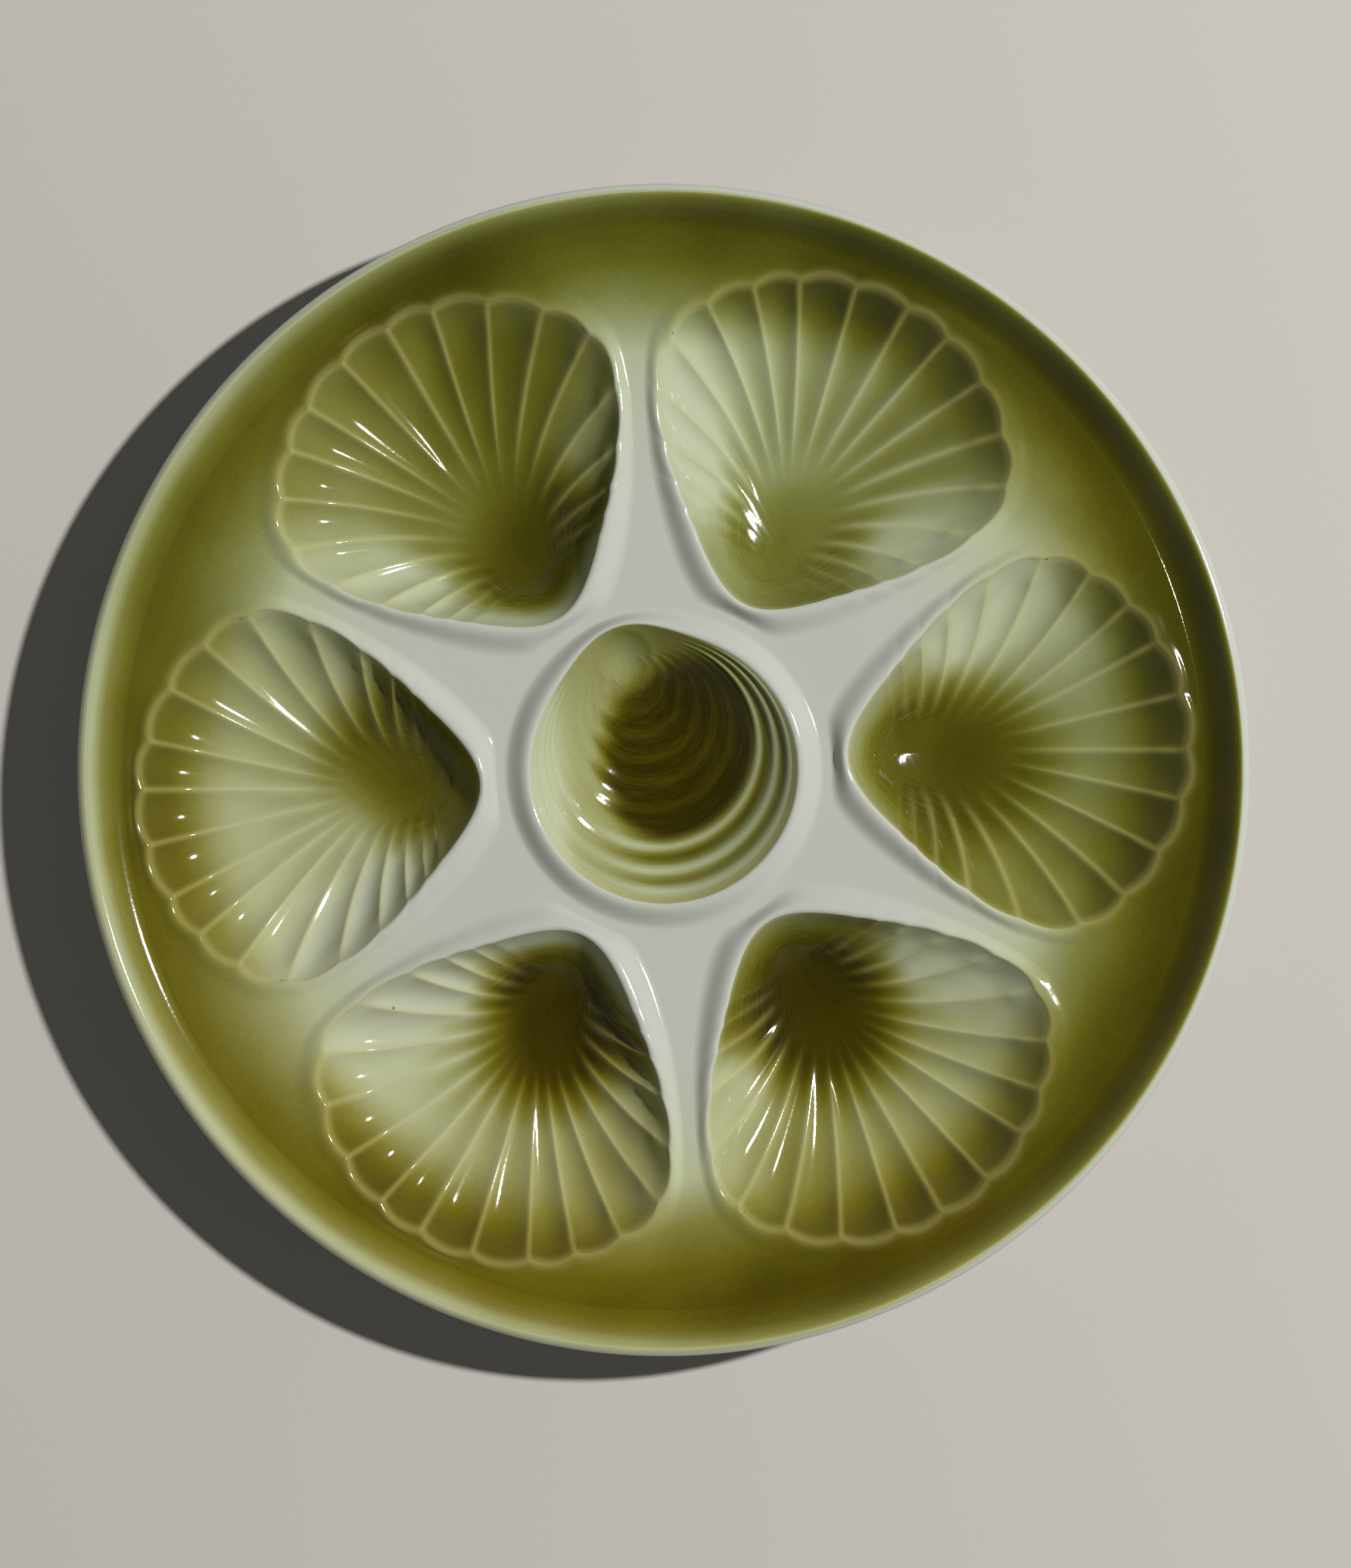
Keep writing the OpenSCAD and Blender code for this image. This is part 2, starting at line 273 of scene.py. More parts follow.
def shell_point(column, way, sink):
    """A place on the glazed floor of a shell, or under it where sink tells how deep."""
    x, y = shell_plan(column, way)
    edge_z = crest_top[column] - edge_drop[column]
    rib_start = rib_root + flank_rib_delay * ramp(*flank_rib_angles, shell_turn[column])
    rise = rib_h * way ** rib_power * ramp(rib_start, rib_start + rib_grow, way) * (1 - ramp(rib_end, 1, way))
    root_z = pool_z + root_raise * ((front_root - root_shift[column]) / root_spread) ** 2
    z = root_z + (edge_z - root_z) * climb(tip_share[column], way) + rise * (1 - shell_across[column])
    wave = np.sin(2 * np.pi * wave_turns * way + wave_start[column]) * on_fan[column] * shell_across[column]
    z = z + wave_h * wave * ramp(*wave_grow, way) * (1 - ramp(*wave_fade, way))
    return x, y, z - sink * (1 - way ** taper_power)


edge_crowd = 0.35


def crowded(share):
    """Rows set closer together towards the edge."""
    return share * (1 + edge_crowd - edge_crowd * share)


def shaped_sheet(name, columns, rows, place, traits=None):
    """A grid whose corners are set, in millimetres, by place(column, share of the way across)."""
    bpy.ops.object.select_all(action="DESELECT")
    bpy.ops.mesh.primitive_grid_add(x_subdivisions=columns, y_subdivisions=rows, size=1)
    sheet = bpy.context.object
    sheet.name = name
    corners = np.empty(len(sheet.data.vertices) * 3)
    sheet.data.vertices.foreach_get("co", corners)
    spot = corners.reshape(-1, 3) + 0.5
    column = np.rint(spot[:, 0] * columns).astype(int)
    share = np.rint(spot[:, 1] * rows) / rows
    points = np.stack(place(column, share), axis=1)
    sheet.data.vertices.foreach_set("co", (points * MM).ravel())
    for trait, values in (traits(column, share, points) if traits else {}).items():
        layer = sheet.data.attributes.new(trait, "FLOAT", "POINT")
        layer.data.foreach_set("value", values)
    sheet.data.update()
    return sheet


def turned_copy(piece, name, degrees):
    """A copy of a piece with its own mesh, turned about the plate's axis."""
    copy = piece.copy()
    copy.data = piece.data.copy()
    copy.name = copy.data.name = name
    copy.data.transform(Matrix.Rotation(math.radians(degrees), 4, "Z"))
    bpy.context.collection.objects.link(copy)
    return copy


merge_gap = 0.002
sharp_angle = 55


def joined(name, parts, fill_deck=False):
    """Sheets joined into one closed, smooth piece whose faces point outwards."""
    bpy.ops.object.select_all(action="DESELECT")
    for part in parts:
        part.select_set(True)
    bpy.context.view_layer.objects.active = parts[0]
    bpy.ops.object.join()
    piece = bpy.context.object
    piece.name = piece.data.name = name
    bpy.ops.object.mode_set(mode="EDIT")
    bpy.ops.mesh.select_mode(type="EDGE")
    bpy.ops.mesh.select_all(action="SELECT")
    bpy.ops.mesh.remove_doubles(threshold=merge_gap * MM)
    if fill_deck:
        bpy.ops.mesh.select_non_manifold(extend=False, use_wire=False, use_boundary=True,
                                         use_multi_face=False, use_non_contiguous=False, use_verts=False)
        bpy.ops.mesh.fill(use_beauty=True)
    bpy.ops.mesh.select_all(action="SELECT")
    bpy.ops.mesh.normals_make_consistent(inside=False)
    bpy.ops.object.mode_set(mode="OBJECT")
    bpy.ops.object.shade_smooth_by_angle(angle=math.radians(sharp_angle))
    return piece


# Crest round each well: it rolls over from the glazed wall and falls in a soft slope to the flat deck.
# The glaze is thin on its edge.
crest_slope_w = 6.4
foot_power = 24
foot_gap = 0.45
fan_roll = 0.9
tip_roll_less = 0.2
crest_crowd = 1.6
crest_thin = 0.72
crest_thin_w = 1.3
crest_rows = 14
cavity_rows = 16
crest_roll = fan_roll - tip_roll_less * tip_share
foot_circles = [circle_reach(shell_phi, radius) for radius in (collar_r + foot_gap, channel_r - foot_gap)]
foot_valleys = valley_reach(shell_phi, valley_mid - foot_gap / 2)
shell_foot = soft_min([shell_outline + crest_slope_w] + foot_circles + foot_valleys, foot_power) - flat_strip
foot_z = deck_height(np.hypot(hinge_r + shell_foot * cosine(shell_phi), shell_foot * sine(shell_phi)))


def crest_out(column, share):
    """Distance out from a well's edge, with the last row kept for the flat strip beyond the slope."""
    width = shell_foot[column] - shell_edge[column]
    return width * np.minimum(share * crest_rows / (crest_rows - 1), 1) ** crest_crowd


def crest_place(column, share):
    out = crest_out(column, share)
    roll = crest_roll[column]
    slope_w = shell_foot[column] - shell_edge[column] - roll
    inner = -edge_drop[column] * (1 - out / roll) ** 2
    outer = -(crest_top[column] - foot_z[column]) * (1 - cosine(180 * (out - roll) / slope_w)) / 2
    z = crest_top[column] + np.where(out < roll, inner, outer)
    reach = shell_edge[column] + out + flat_strip * (share == 1)
    phi = shell_phi[column]
    return hinge_r + reach * cosine(phi), reach * sine(phi), z


def crest_traits(column, share, points):
    return {"thin": crest_thin * bell(crest_out(column, share), 0, crest_thin_w)}


crest = shaped_sheet("crest", shell_columns, crest_rows, crest_place, crest_traits)
cavity = shaped_sheet("cavity", shell_columns, cavity_rows,
                      lambda column, share: shell_point(column, crowded(crowded(share)), glaze_t))
body_parts = [crest, cavity]
for well in range(1, well_count):
    body_parts.append(turned_copy(crest, "crest", well_turn * well))
    body_parts.append(turned_copy(cavity, "cavity", well_turn * well))

# Clam outline of the centre well: a round bowl drawn out to a beak, with a round dent at the hinge that the
# growth bands spread from. The collar is a round lip that falls in one soft slope to the deck.
clam_r = 27.4
beak_h = 3.4
beak_angle = 105
beak_spread = 22
dent_inset = 6
clam_floor_z = clam_low[2] / MM + glaze_t
clam_power = 2.6
clam_drop = 0.3
dent_r = clam_r + beak_h - dent_inset
dent_x = dent_r * float(cosine(beak_angle))
dent_y = dent_r * float(sine(beak_angle))


def clam_edge(angle):
    turn = (angle - beak_angle + 180) % 360 - 180
    return clam_r + beak_h * np.exp(-(turn / beak_spread) ** 2)


def wall_length(angle):
    """Distance from the dent to the edge of the well, seen from above."""
    edge = clam_edge(angle)
    return np.hypot(edge * cosine(angle) - dent_x, edge * sine(angle) - dent_y)


def clam_point(column, way, sink):
    """A place on the glazed floor of the centre well, or under it where sink tells how deep."""
    angle = round_angle(column)
    edge = clam_edge(angle)
    x = dent_x + way * (edge * cosine(angle) - dent_x)
    y = dent_y + way * (edge * sine(angle) - dent_y)
    share = np.minimum(np.hypot(x, y) / clam_edge(np.degrees(np.arctan2(y, x))), 1)
    z = clam_floor_z + (collar_z - clam_drop - clam_floor_z) * share ** clam_power
    return x, y, z + growth_bands(way, wall_length(angle)) - sink * (1 - way ** taper_power)


# The bands are fine in the pool and bold near the edge, each at a share of the way from the dent.
fine_bands = [0.13, 0.22, 0.32, 0.42, 0.52, 0.62]
bold_bands = [0.77, 0.87, 0.95]
fine_band_h = 0.14
fine_band_w = 0.025
bold_band_h = 0.55
bold_band_w = 0.028
band_end = 0.96
short_walls = (12, 28)
dent_h = 1.1
dent_w = 4.2
dent_ring_h = 0.25
dent_ring_r = 5.6
dent_ring_w = 1.0


def growth_bands(way, length):
    """Height of the bands, which run out where the wall between the dent and the edge is short."""
    fine = sum(bell(way, middle, fine_band_w) for middle in fine_bands)
    bold = sum(bell(way, middle, bold_band_w) for middle in bold_bands)
    bands = (fine_band_h * fine + bold_band_h * bold) * (1 - ramp(band_end, 1, way))
    bands = bands * ramp(*short_walls, length)
    dent = dent_h * bell(way * length, 0, dent_w)
    return bands - dent + dent_ring_h * bell(way * length, dent_ring_r, dent_ring_w)


collar_rows = 24
collar_w = collar_r - clam_r
collar_fall = (0.7, 5.6)
collar_lip_w = 0.4


def collar_place(column, share):
    angle = round_angle(column)
    edge = clam_edge(angle)
    out = collar_w * np.minimum(share * collar_rows / (collar_rows - 1), 1)
    z = deck_z + (collar_z - deck_z) * (1 - ramp(*collar_fall, out))
    lip_drop = clam_drop - growth_bands(1.0, wall_length(angle))
    z = z - lip_drop * np.maximum(0, 1 - out / collar_lip_w) ** 2
    radius = edge + (collar_r - flat_strip - edge) * out / collar_w + flat_strip * (share == 1)
    return radius * cosine(angle), radius * sine(angle), z


body_parts.append(shaped_sheet("collar", round_columns, collar_rows, collar_place))
body_parts.append(shaped_sheet("clam_cavity", round_columns, cavity_rows,
                               lambda column, share: clam_point(column, crowded(share), glaze_t)))

# Rim, lip and underside, from the channel over the lip to the middle of the base: the rim's back follows its
# inner slope, the wells and the bowl bulge below the deck, and the foot ring stands out from them.
rim_t = 3
flare_w = 15
channel_z = float(deck_height(channel_r))
lip_mid_z = lip_z - lip_r
lip_tilt = 46
lip_share = 0.82
lip_end = -60
slope_steps = 22
lip_steps = 14
back_steps = 5
back_share = 0.5
slope_run = lip_mid_r - lip_r * float(sine(lip_tilt)) - channel_r
slope_rise = lip_mid_z + lip_r * float(cosine(lip_tilt)) - channel_z
slope_power = math.tan(math.radians(lip_tilt)) * slope_run / slope_rise


def slope_point(share):
    """A place on the rim's inner slope, which steepens from the channel and rounds over to the lip's top."""
    if share < lip_share:
        part = share / lip_share
        return channel_r + slope_run * part, channel_z + slope_rise * part ** slope_power
    tilt = lip_tilt * (1 - share) / (1 - lip_share)
    return lip_mid_r - lip_r * float(sine(tilt)), lip_mid_z + lip_r * float(cosine(tilt))


def coat_taper(share):
    """Share of a coat's full thickness across the rim's slope, none at its two edges."""
    return np.sqrt(np.clip(4 * share * (1 - share), 0, 1))


def rim_section():
    """Points from the channel, under the rim's coat, over the lip and down its back to the flare's foot."""
    points = [(channel_r - flat_strip, float(deck_height(channel_r - flat_strip)))]
    for share in np.linspace(0, 1, slope_steps + 1):
        r, z = slope_point(share)
        points.append((r, z - glaze_t * float(coat_taper(share))))
    for angle in np.linspace(90, lip_end, lip_steps + 1)[1:]:
        points.append((lip_mid_r + lip_r * float(cosine(angle)), lip_mid_z + lip_r * float(sine(angle))))
    for share in np.linspace(back_share, 0, back_steps + 1):
        r, z = slope_point(share)
        tilt = math.atan(slope_rise / slope_run * slope_power * (share / lip_share) ** (slope_power - 1))
        points.append((r + rim_t * math.sin(tilt), z - rim_t * math.cos(tilt)))
    points.append((plate_r - flare_w, under_z))
    return np.array(points, dtype=float)


foot_r = 68
foot_half = 1.8
foot_flare = 1.3
foot_top = 2
foot_edge_flat = 1.2
foot_edge_w = 0.6
foot_edge_h = 0.5
bulge_out = 2.2
bulge_join = 1
bulge_limit = 1.5
well_wall = 4.5
blend_h = 2.4


def smooth_min(a, b):
    share = np.clip(0.5 + 0.5 * (b - a) / blend_h, 0, 1)
    return b * (1 - share) + a * share - blend_h * share * (1 - share)


def underside_z(x, y):
    """Height of the underside: flat, with the bulges of the bowl and the wells, and the foot ring."""
    radius = np.hypot(x, y)
    bowl_low = clam_floor_z - glaze_t - well_wall
    bowl = bowl_low + (under_z - bowl_low) * (radius / collar_r) ** clam_power
    z = smooth_min(np.full_like(x, under_z), bowl)
    for well in range(well_count):
        turn = -well_turn * well
        along = x * cosine(turn) - y * sine(turn) - hinge_r
        aside = x * sine(turn) + y * cosine(turn)
        phi = np.degrees(np.arctan2(aside, along))
        way = np.minimum(np.hypot(along, aside) / (outline_reach(phi) + bulge_out), bulge_limit)
        low = pool_z - glaze_t - well_wall
        z = smooth_min(z, low + (under_z + bulge_join - low) * climb((1 - cosine(phi)) / 2, way))
    off = np.abs(radius - foot_r)
    foot = under_z * np.clip((off - foot_half) / foot_flare, 0, foot_top)
    foot = foot + foot_edge_h * np.clip((off - foot_edge_flat) / foot_edge_w, 0, 1) ** 2
    return np.minimum(z, foot)


# Rows of the base run inwards from the flare's foot, and are crowded on the two sides of the foot ring.
section = rim_section()
lip_row = int(np.argmax(section[:, 0]))
outer_from = 103.5
outer_to = 72.5
outer_step = 1.5
inner_from = 63.5
inner_step = 1.6
outer_rows = np.arange(outer_from, outer_to, -outer_step)
foot_rows = np.array([3.4, 3.1, 2.8, 2.5, 2.25, 2.0, 1.85, 1.7, 1.4, 1.0, 0.5])
inner_rows = np.arange(inner_from, 0, -inner_step)
base_r = np.concatenate([outer_rows, foot_r + foot_rows, foot_r - foot_rows[::-1], inner_rows, [0]])
back_rows = len(section) + len(base_r) - 1


def back_place(column, share):
    angle = round_angle(column)
    row = np.rint(share * back_rows).astype(int)
    radius = np.concatenate([section[:, 0], base_r])[row]
    x, y = radius * cosine(angle), radius * sine(angle)
    flat = np.concatenate([section[:, 1], np.zeros(len(base_r))])[row]
    return x, y, np.where(row < len(section), flat, underside_z(x, y))


def back_traits(column, share, points):
    return {"behind": (np.rint(share * back_rows) > lip_row).astype(float)}


body_parts.append(shaped_sheet("back", round_columns, back_rows, back_place, back_traits))
plate_body = joined("plate_body_casting", body_parts, fill_deck=True)


def add_node(tree, kind, sockets=None, **settings):
    """Adds a shader node and gives each of its sockets a value or a link."""
    node = tree.nodes.new("ShaderNode" + kind)
    for setting, value in settings.items():
        setattr(node, setting, value)
    for socket, value in (sockets or {}).items():
        if isinstance(value, bpy.types.NodeSocket):
            tree.links.new(value, node.inputs[socket])
        else:
            node.inputs[socket].default_value = value
    return node


def math_node(tree, operation, *values):
    return add_node(tree, "Math", dict(enumerate(values)), operation=operation).outputs[0]


def noise(tree, place, scale, detail):
    return add_node(tree, "TexNoise", {"Vector": place, "Scale": scale, "Detail": detail}).outputs[0]


def about_zero(tree, value):
    """Noise that swings both ways, from noise between 0 and 1."""
    return math_node(tree, "SUBTRACT", value, 0.5)


def ranged(tree, value, start, end, first, last):
    """Goes from first to last as value goes from start to end."""
    return add_node(tree, "MapRange", {0: value, 1: start, 2: end, 3: first, 4: last}).outputs[0]


def along_way(tree, place, direction):
    return add_node(tree, "VectorMath", {0: place, 1: direction}, operation="DOT_PRODUCT").outputs[1]


def trait_value(tree, trait):
    return add_node(tree, "Attribute", attribute_name=trait).outputs["Fac"]


def mixed(tree, share, first, second):
    return add_node(tree, "Mix", {0: share, 6: first, 7: second}, data_type="RGBA").outputs[2]


def stops(tree, value, points):
    """A colour or grey ramp through (place, colour) points."""
    node = add_node(tree, "ValToRGB", {0: value})
    marks = node.color_ramp.elements
    for mark, (place, colour) in enumerate(points):
        element = marks[mark] if mark < 2 else marks.new(place)
        element.position = place
        element.color = colour
    return node.outputs[0]


def paint(red, green, blue):
    """A linear colour from one written as 0 to 255."""
    share = [value / 255 for value in (red, green, blue)]
    return [v / 12.92 if v <= 0.04045 else ((v + 0.055) / 1.055) ** 2.4 for v in share] + [1.0]


def grey(value):
    return [value, value, value, 1.0]


# The fired glaze, shared by all the finishes: the thicker the green coat, the darker it is. Spraying by hand
# leaves clouds, and the kiln leaves a fine grain and a few dark specks.
brown_shades = [
    (0.00, paint(174, 176, 166)), (0.13, paint(172, 175, 152)), (0.28, paint(169, 172, 135)),
    (0.42, paint(147, 146, 96)), (0.56, paint(122, 117, 52)), (0.70, paint(101, 92, 17)),
    (0.84, paint(74, 64, 4)), (1.00, paint(46, 37, 0))]
green_shades = [
    (0.00, paint(174, 176, 166)), (0.13, paint(170, 175, 153)), (0.28, paint(163, 171, 140)),
    (0.42, paint(138, 144, 103)), (0.56, paint(113, 117, 62)), (0.70, paint(90, 92, 27)),
    (0.84, paint(65, 65, 10)), (1.00, paint(42, 39, 2))]
thin_shade = paint(166, 156, 92)
speck_shade = paint(52, 48, 34)
cloud_scale = 26
cloud_share = 0.5
grain_scale = 1400
grain_share = 0.12
uneven_limit = 0.6
hue_scale = 17
hue_lean = (1.2, 4.0, 0)
speck_scale = 85
speck_core = 0.018
speck_edge = 0.035
speck_rarity = 0.8
speck_share = 0.7
least_roughness = 0.05
cloud_roughness = 0.07
cloud_height = 6.0

fired_glaze = bpy.data.node_groups.new("fired_glaze", "ShaderNodeTree")
for label, kind, way in (("Place", "NodeSocketVector", "INPUT"), ("Depth", "NodeSocketFloat", "INPUT"),
                         ("Thin", "NodeSocketFloat", "INPUT"), ("Color", "NodeSocketColor", "OUTPUT"),
                         ("Roughness", "NodeSocketFloat", "OUTPUT"), ("Height", "NodeSocketFloat", "OUTPUT")):
    fired_glaze.interface.new_socket(name=label, in_out=way, socket_type=kind)
given = fired_glaze.nodes.new("NodeGroupInput").outputs
cloud = noise(fired_glaze, given["Place"], cloud_scale, 2)
grain = noise(fired_glaze, given["Place"], grain_scale, 3)
uneven = math_node(fired_glaze, "MULTIPLY", about_zero(fired_glaze, cloud), cloud_share)
uneven = math_node(fired_glaze, "MULTIPLY_ADD", about_zero(fired_glaze, grain), grain_share, uneven)
unevenness = math_node(fired_glaze, "MINIMUM", given["Depth"], uneven_limit)
depth = math_node(fired_glaze, "MULTIPLY_ADD", uneven, unevenness, given["Depth"])
lean = along_way(fired_glaze, given["Place"], hue_lean)
greener = math_node(fired_glaze, "ADD", lean, noise(fired_glaze, given["Place"], hue_scale, 1))
greener = ranged(fired_glaze, greener, 0.0, 1.0, 0, 1)
brown = stops(fired_glaze, depth, brown_shades)
shade = mixed(fired_glaze, greener, brown, stops(fired_glaze, depth, green_shades))
shade = mixed(fired_glaze, given["Thin"], shade, thin_shade)
cells = add_node(fired_glaze, "TexVoronoi", {"Vector": given["Place"], "Scale": speck_scale})
dot = ranged(fired_glaze, cells.outputs["Distance"], speck_core, speck_edge, 1, 0)
chosen = add_node(fired_glaze, "SeparateColor", {0: cells.outputs["Color"]}).outputs[0]
speck = math_node(fired_glaze, "MULTIPLY", dot, math_node(fired_glaze, "GREATER_THAN", chosen, speck_rarity))
shade = mixed(fired_glaze, math_node(fired_glaze, "MULTIPLY", speck, speck_share), shade, speck_shade)
roughness = math_node(fired_glaze, "MULTIPLY_ADD", cloud, cloud_roughness, least_roughness)
ripple = math_node(fired_glaze, "MULTIPLY_ADD", cloud, cloud_height, grain)
given_out = fired_glaze.nodes.new("NodeGroupOutput").inputs
fired_glaze.links.new(shade, given_out["Color"])
fired_glaze.links.new(roughness, given_out["Roughness"])
fired_glaze.links.new(ripple, given_out["Height"])

bump_strength = 0.25
bump_h = 0.00004
glaze_ior = 1.52
glaze_specular = 0.3


def new_finish(name):
    """A material with its shader and its Object coordinates, ready for a glaze."""
    finish = bpy.data.materials.new(name)
    finish.use_nodes = True
    tree = finish.node_tree
    return finish, tree, tree.nodes["Principled BSDF"], add_node(tree, "TexCoord").outputs["Object"]


def fire(tree, shader, place, depth, thin):
    """Puts the fired glaze on a material's shader and returns the group's outputs."""
    glaze = add_node(tree, "Group", {"Place": place, "Depth": depth, "Thin": thin}, node_tree=fired_glaze)
    bump = add_node(tree, "Bump", {"Height": glaze.outputs["Height"], "Strength": bump_strength,
                                   "Distance": bump_h})
    tree.links.new(glaze.outputs["Color"], shader.inputs["Base Color"])
    tree.links.new(glaze.outputs["Roughness"], shader.inputs["Roughness"])
    tree.links.new(bump.outputs[0], shader.inputs["Normal"])
    shader.inputs["IOR"].default_value = glaze_ior
    shader.inputs["Specular IOR Level"].default_value = glaze_specular
    return glaze.outputs


def plate_radius(tree, place):
    """Distance from the plate's axis, in metres."""
    flat = add_node(tree, "VectorMath", {0: place, 1: (1, 1, 0)}, operation="MULTIPLY").outputs[0]
    return add_node(tree, "VectorMath", {0: flat}, operation="LENGTH").outputs[1]


# Direction in which the green gets darker: thicker spray plus painted shade, towards the lamp's side, where
# the rim's inner slope faces away from the lamp.
spray_and_shade_side = (0.94, 0.34, 0)


def spray_and_shade_lean(tree, place):
    """Grows from 0 on the left to 1 on the right, where the spray lies thicker and painted shade darkens the
    green.
    """
    return ranged(tree, along_way(tree, place, spray_and_shade_side), -plate_r * MM, plate_r * MM, 0, 1)


# The green on the white starts between the wells, thickens towards the rim, and thins out over the lip, past
# its top on the left, where it is also painted shade on the lip's outer side. Towards the right the green is
# darker, partly thicker spray and partly painted shade in the channel under the rim. Only the face is
# sprayed.
spray_start = 0.055
spray_full = 0.110
spray_scale = 34
spray_wander = 0.010
spray_depths = [(0.0, grey(0)), (0.3, grey(0.08)), (0.55, grey(0.27)), (0.73, grey(0.49)),
                (0.9, grey(0.68)), (1.0, grey(0.73))]
# How much darker the sprayed green is on the right: partly thicker spray, partly painted shade in the
# channel.
right_spray_and_shade = 0.14
face_margin = 0.6
over_lip_spray_and_shade_w = 1.5
lip_fade_w = 0.35
lip_spray = 0.4
lip_margin = 0.1
crest_spray_limit = 0.5
clay_shade = paint(196, 178, 150)
bare_h = 0.35
bare_fade_h = 0.6
clay_roughness = 0.7

white_finish, tree, shader, place = new_finish("white_glaze_sprayed_green")
radius = plate_radius(tree, place)
spray_cloud = about_zero(tree, noise(tree, place, spray_scale, 1))
spray_reach = math_node(tree, "MULTIPLY_ADD", spray_cloud, spray_wander, radius)
spray_share = ranged(tree, spray_reach, spray_start, spray_full, 0, 1)
spray = stops(tree, spray_share, spray_depths)
height = add_node(tree, "SeparateXYZ", {0: place}).outputs[2]
face_up = math_node(tree, "GREATER_THAN", height, (deck_z - face_margin) * MM)
face_up = math_node(tree, "SUBTRACT", face_up, trait_value(tree, "behind"))
face_up = math_node(tree, "MAXIMUM", face_up, 0)
# Painted shade: the green is darker towards the right, and on the left it reaches further over the lip, where
# it paints the shaded outer side of the lip.
spray_and_shade_share = spray_and_shade_lean(tree, place)
over_lip_spray_and_shade = math_node(tree, "MULTIPLY", math_node(tree, "SUBTRACT", 1, spray_and_shade_share), over_lip_spray_and_shade_w * MM)
lip_radius = math_node(tree, "SUBTRACT", radius, over_lip_spray_and_shade)
inside_lip = ranged(tree, lip_radius, lip_mid_r * MM, (lip_mid_r + lip_fade_w) * MM, lip_spray, 0)
full_spray = math_node(tree, "LESS_THAN", radius, (lip_mid_r - lip_margin) * MM)
inside_lip = math_node(tree, "MAXIMUM", inside_lip, full_spray)
spray_and_shade_depth = math_node(tree, "MULTIPLY", spray_and_shade_share, right_spray_and_shade)
spray = math_node(tree, "MULTIPLY_ADD", spray_and_shade_depth, spray_share, spray)
spray = math_node(tree, "MULTIPLY", spray, math_node(tree, "MULTIPLY", face_up, inside_lip))
crest_spray = math_node(tree, "MINIMUM", spray, crest_spray_limit)
crest_share = math_node(tree, "MULTIPLY", trait_value(tree, "thin"), crest_spray)
glazed = fire(tree, shader, place, spray, crest_share)
bare = ranged(tree, height, bare_h * MM, bare_fade_h * MM, 1, 0)
bare_roughness = math_node(tree, "MULTIPLY_ADD", bare, clay_roughness, glazed["Roughness"])
tree.links.new(mixed(tree, bare, glazed["Color"], clay_shade), shader.inputs["Base Color"])
tree.links.new(bare_roughness, shader.inputs["Roughness"])
plate_body.data.materials.append(white_finish)
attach(plate_body, "root")
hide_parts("plate_body")

# Rim glaze: the coat sprayed on the inner slope of the rim. It runs down and gathers dark in the channel,
# and thins to cream on the crest, where it ends in a line on the white lip. Towards the right it is darker,
# most up the slope: partly thicker spray, partly painted shade on the slope that faces away from the lamp.
rim_rows = 26
coat_t = 0.4
rim_depths = [(0.0, grey(0.72)), (0.3, grey(0.66)), (0.57, grey(0.56)), (0.8, grey(0.36)), (1.0, grey(0.25))]
# How much darker the rim's coat is on the right, in the channel and up the slope: partly thicker spray,
# partly painted shade.
channel_spray_and_shade = 0.14
slope_spray_and_shade = 0.36
line_start = 0.93
line_share = 0.4
bpy.ops.object.select_all(action="DESELECT")
bpy.ops.mesh.primitive_circle_add(vertices=2 * rim_rows, radius=MM)
rim_glaze = bpy.context.object
rim_glaze.name = rim_glaze.data.name = "rim_green_coat"
for index, vertex in enumerate(rim_glaze.data.vertices):
    share = abs(index - rim_rows) / rim_rows
    r, z = slope_point(share)
    sunk = coat_t * float(coat_taper(share)) if index > rim_rows else 0
    vertex.co = (r * MM, 0, (z - sunk) * MM)
bpy.ops.object.mode_set(mode="EDIT")
bpy.ops.mesh.select_all(action="SELECT")
bpy.ops.mesh.spin(steps=round_columns, angle=math.tau, center=(0, 0, 0), axis=(0, 0, 1), use_auto_merge=True)
bpy.ops.mesh.select_all(action="SELECT")
bpy.ops.mesh.remove_doubles(threshold=merge_gap * MM)
bpy.ops.mesh.normals_make_consistent(inside=False)
bpy.ops.object.mode_set(mode="OBJECT")
bpy.ops.object.shade_smooth_by_angle(angle=math.radians(sharp_angle))

rim_finish, tree, shader, place = new_finish("rim_green_glaze")
slope_share = ranged(tree, plate_radius(tree, place), channel_r * MM, lip_mid_r * MM, 0, 1)
rim_depth = stops(tree, slope_share, rim_depths)
# Painted shade on the right of the rim's slope, added to the coat's depth along with thicker spray.
spray_and_shade_depth = math_node(tree, "MULTIPLY_ADD", slope_share, slope_spray_and_shade, channel_spray_and_shade)
rim_depth = math_node(tree, "MULTIPLY_ADD", spray_and_shade_lean(tree, place), spray_and_shade_depth, rim_depth)
line = ranged(tree, slope_share, line_start, 1, 0, line_share)
fire(tree, shader, place, rim_depth, line)
rim_glaze.data.materials.append(rim_finish)
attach(rim_glaze, "root")
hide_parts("rim_glaze")

